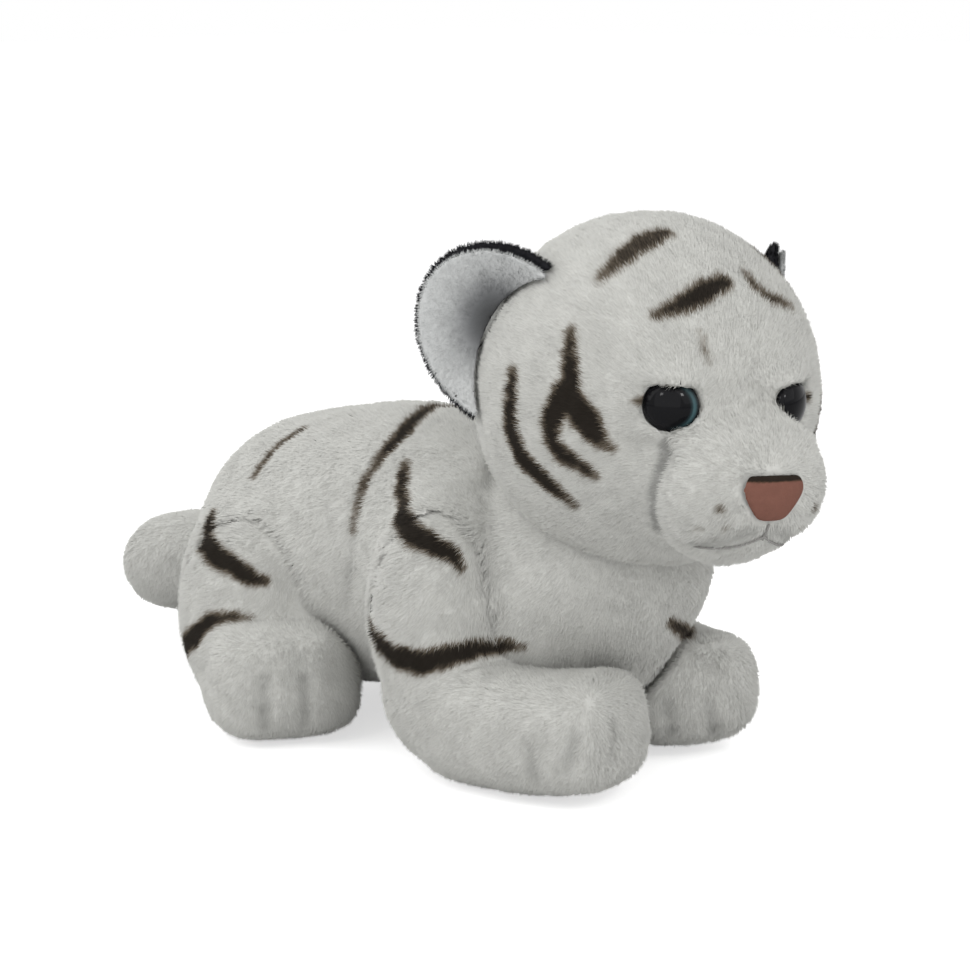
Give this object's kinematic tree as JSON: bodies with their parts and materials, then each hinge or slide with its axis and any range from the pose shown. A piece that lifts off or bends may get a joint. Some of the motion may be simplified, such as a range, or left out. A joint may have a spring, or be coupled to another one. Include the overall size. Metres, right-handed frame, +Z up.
{
  "type": "plush tiger cub",
  "caption": "White plush tiger cub lying on its belly with its head up, dark stripes, glossy eyes, a pink nose and a curled tail.",
  "frame": {"origin": "on the ground, below the middle of the whole cub as it lies", "axes": "+Z up, the cub faces -Y, +X is the cub's own left side"},
  "size_m": [0.1676, 0.368, 0.1969],
  "materials": {
    "white_plush": "short dense white plush pile with printed dark stripes",
    "dark_plush": "short plush pile, nearly black",
    "grey_plush": "short plush pile, light grey",
    "nose_cloth": "fine dusty pink velour",
    "dark_thread": "dark embroidery thread",
    "stuffing": "loose polyester fibre",
    "pouch_cloth": "thin woven pouch filled with plastic pellets",
    "eye_plastic": "polished black",
    "washer_plastic": "plain moulded"
  },
  "bodies": {
    "torso": {"torso_skin": "white_plush", "torso_filling": "stuffing", "pellet_pouch": "pouch_cloth"},
    "neck": {"neck_filling": "stuffing"},
    "head": {"head_skin": "white_plush", "head_filling": "stuffing", "right_eye": "eye_plastic", "right_eye_washer": "washer_plastic", "left_eye": "eye_plastic", "left_eye_washer": "washer_plastic", "nose_pad": "nose_cloth", "mouth_thread": "dark_thread"},
    "right_ear": {"right_ear_back": "dark_plush", "right_ear_lining": "grey_plush"},
    "left_ear": {"left_ear_back": "dark_plush", "left_ear_lining": "grey_plush"},
    "right_foreleg": {"right_foreleg_skin": "white_plush", "right_foreleg_filling": "stuffing"},
    "left_foreleg": {"left_foreleg_skin": "white_plush", "left_foreleg_filling": "stuffing"},
    "right_hindleg": {"right_hindleg_skin": "white_plush", "right_hindleg_filling": "stuffing"},
    "left_hindleg": {"left_hindleg_skin": "white_plush", "left_hindleg_filling": "stuffing"},
    "tail": {"tail_skin": "white_plush", "tail_filling": "stuffing"},
    "tail_tip": {"tail_tip_skin": "dark_plush", "tail_tip_filling": "stuffing"}
  },
  "joints": [
    {"name": "head_turn", "type": "hinge", "parent": "torso", "child": "neck", "pos_m": [0, -0.07861, 0.074], "axis": [0, 0, 1], "range_deg": [-15, 15], "stiffness_Nm_per_rad": 1},
    {"name": "head_nod", "type": "hinge", "parent": "neck", "child": "head", "pos_m": [0, -0.07861, 0.074], "axis": [1, 0, 0], "range_deg": [-5, 10], "stiffness_Nm_per_rad": 2},
    {"name": "right_ear_fold", "type": "hinge", "parent": "head", "child": "right_ear", "pos_m": [-0.04597, -0.07134, 0.16173], "axis": [0.1808, -0.4938, 0.8506], "range_deg": [-15, 15], "stiffness_Nm_per_rad": 0.02},
    {"name": "left_ear_fold", "type": "hinge", "parent": "head", "child": "left_ear", "pos_m": [0.05485, -0.10216, 0.15621], "axis": [0.3393, 0.3348, -0.8791], "range_deg": [-15, 15], "stiffness_Nm_per_rad": 0.02},
    {"name": "right_foreleg_swing", "type": "hinge", "parent": "torso", "child": "right_foreleg", "pos_m": [-0.043, -0.04761, 0.045], "axis": [0, 0, 1], "range_deg": [-25, 0], "stiffness_Nm_per_rad": 0.5},
    {"name": "left_foreleg_swing", "type": "hinge", "parent": "torso", "child": "left_foreleg", "pos_m": [0.043, -0.04761, 0.045], "axis": [0, 0, 1], "range_deg": [0, 25], "stiffness_Nm_per_rad": 0.5},
    {"name": "right_hindleg_swing", "type": "hinge", "parent": "torso", "child": "right_hindleg", "pos_m": [-0.043, 0.05039, 0.04], "axis": [0, 0, 1], "range_deg": [-20, 0], "stiffness_Nm_per_rad": 0.5},
    {"name": "left_hindleg_swing", "type": "hinge", "parent": "torso", "child": "left_hindleg", "pos_m": [0.043, 0.05039, 0.04], "axis": [0, 0, 1], "range_deg": [0, 20], "stiffness_Nm_per_rad": 0.5},
    {"name": "tail_wag", "type": "hinge", "parent": "torso", "child": "tail", "pos_m": [0, 0.10039, 0.05], "axis": [0, 0, 1], "range_deg": [-14, 10], "stiffness_Nm_per_rad": 0.1},
    {"name": "tail_tip_bend", "type": "hinge", "parent": "tail", "child": "tail_tip", "pos_m": [0.056, 0.12453, 0.016], "axis": [0, 0, 1], "range_deg": [-15, 15], "stiffness_Nm_per_rad": 0.03}
  ]
}
